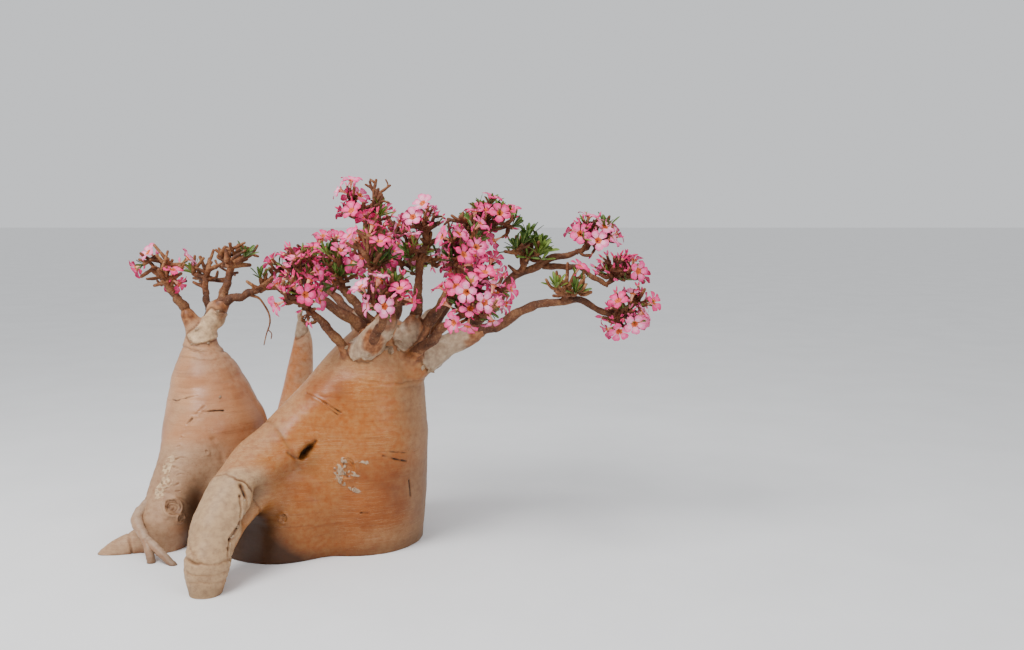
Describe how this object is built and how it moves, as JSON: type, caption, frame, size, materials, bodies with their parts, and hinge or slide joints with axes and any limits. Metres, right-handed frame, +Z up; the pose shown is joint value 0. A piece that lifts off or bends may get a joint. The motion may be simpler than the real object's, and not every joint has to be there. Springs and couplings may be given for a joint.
{
  "type": "desert rose tree",
  "caption": "Squat succulent tree with swollen bottle stems on one root and a crown of knobbly twigs in pink flower.",
  "frame": {"origin": "on the flat cut under the main stem, at ground level", "axes": "+Z up, +X to the right along the spread of the crown, +Y to the back"},
  "size_m": [2.2877, 1.2626, 1.5354],
  "materials": {
    "bark": "waxy",
    "twig_bark": "matte",
    "bare_twigs": "matte",
    "blossom": "satin",
    "leaf": "satin"
  },
  "bodies": {
    "root": {"stem_main": "bark", "stem_left": "bark", "stem_rear": "bark", "prop_root": "bark", "bough_centre": "twig_bark", "bough_centre_front": "twig_bark", "bough_centre_right": "twig_bark", "bough_far_left": "twig_bark", "bough_far_rear": "twig_bark", "bough_far_right": "twig_bark", "bough_far_top": "twig_bark", "bough_front_low": "twig_bark", "bough_front_right": "twig_bark", "bough_left": "twig_bark", "bough_left_low": "twig_bark", "bough_left_mid": "twig_bark", "bough_rear": "twig_bark", "bough_rear_left": "twig_bark", "bough_rear_right": "twig_bark", "bough_right_low": "twig_bark", "bough_right_low_tip": "twig_bark", "bough_right_over": "twig_bark", "bough_right_top": "twig_bark", "bough_right_up": "twig_bark", "bough_right_up_tip": "twig_bark", "bough_top_left": "twig_bark", "twigs_centre": "leaf", "twigs_centre_left": "blossom", "twigs_centre_right": "blossom", "twigs_far_left": "bare_twigs", "twigs_far_rear": "bare_twigs", "twigs_far_right": "bare_twigs", "twigs_far_top": "bare_twigs", "twigs_front_low": "blossom", "twigs_front_right": "blossom", "twigs_left": "blossom", "twigs_left_low": "blossom", "twigs_left_mid": "blossom", "twigs_rear": "blossom", "twigs_rear_left": "blossom", "twigs_rear_right": "blossom", "twigs_right_end": "blossom", "twigs_right_end_low": "blossom", "twigs_right_end_top": "blossom", "twigs_right_inner": "leaf", "twigs_right_mid": "bare_twigs", "twigs_right_top": "leaf", "twigs_top_left": "blossom"}
  },
  "joints": []
}
